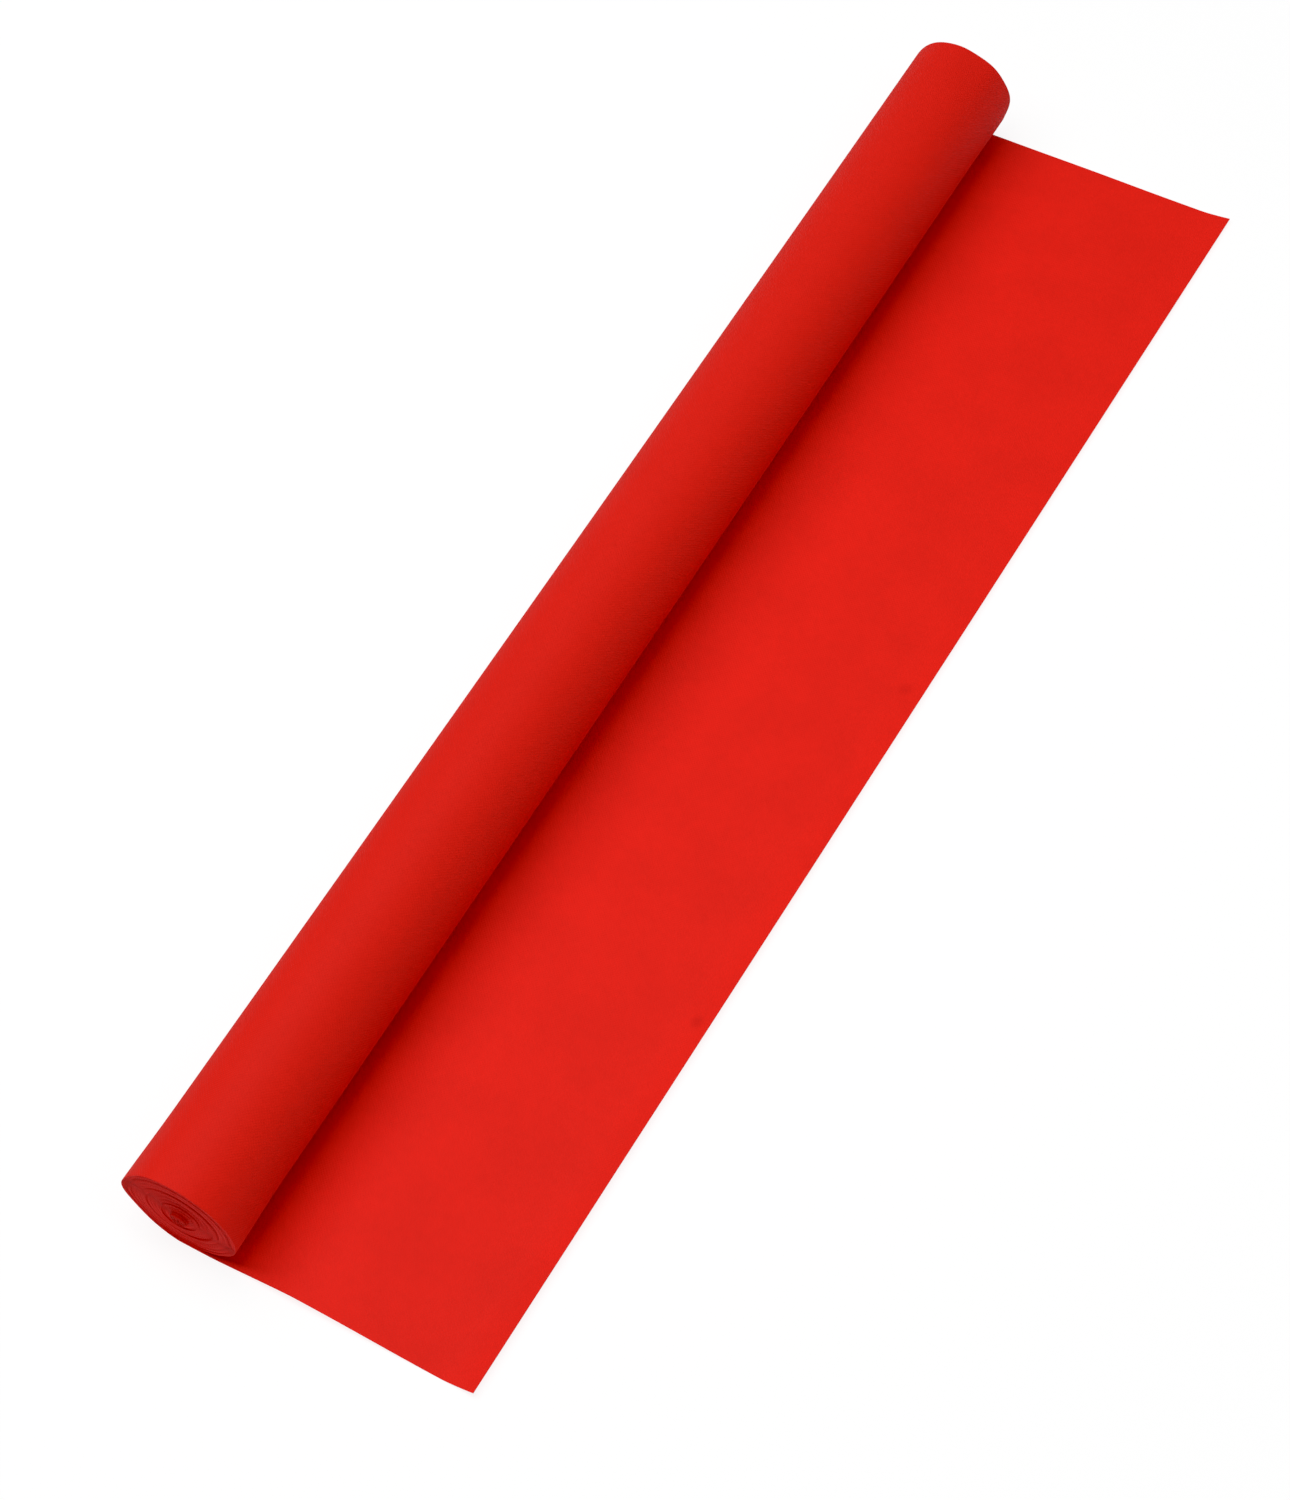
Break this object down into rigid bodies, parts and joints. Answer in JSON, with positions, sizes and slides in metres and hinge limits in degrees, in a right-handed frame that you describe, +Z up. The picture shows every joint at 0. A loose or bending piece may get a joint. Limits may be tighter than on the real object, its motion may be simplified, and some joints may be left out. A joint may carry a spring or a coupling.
{
  "type": "roll of nonwoven fabric",
  "caption": "Coreless roll of red spunbond nonwoven cloth lying on a surface, with a short loose end unrolled flat beside it.",
  "frame": {"origin": "on the floor under the middle of the roll's axis, on the underside of the cloth", "axes": "+Y along the roll, from the end with the proud cut edge to the other end; +X along the loose end, towards its free edge; +Z up"},
  "size_m": [0.2505, 1.0071, 0.0752],
  "materials": {
    "red_nonwoven": "matte embossed spunbond"
  },
  "bodies": {
    "root": {"wound_roll": "red_nonwoven", "loose_end": "red_nonwoven"}
  },
  "joints": []
}
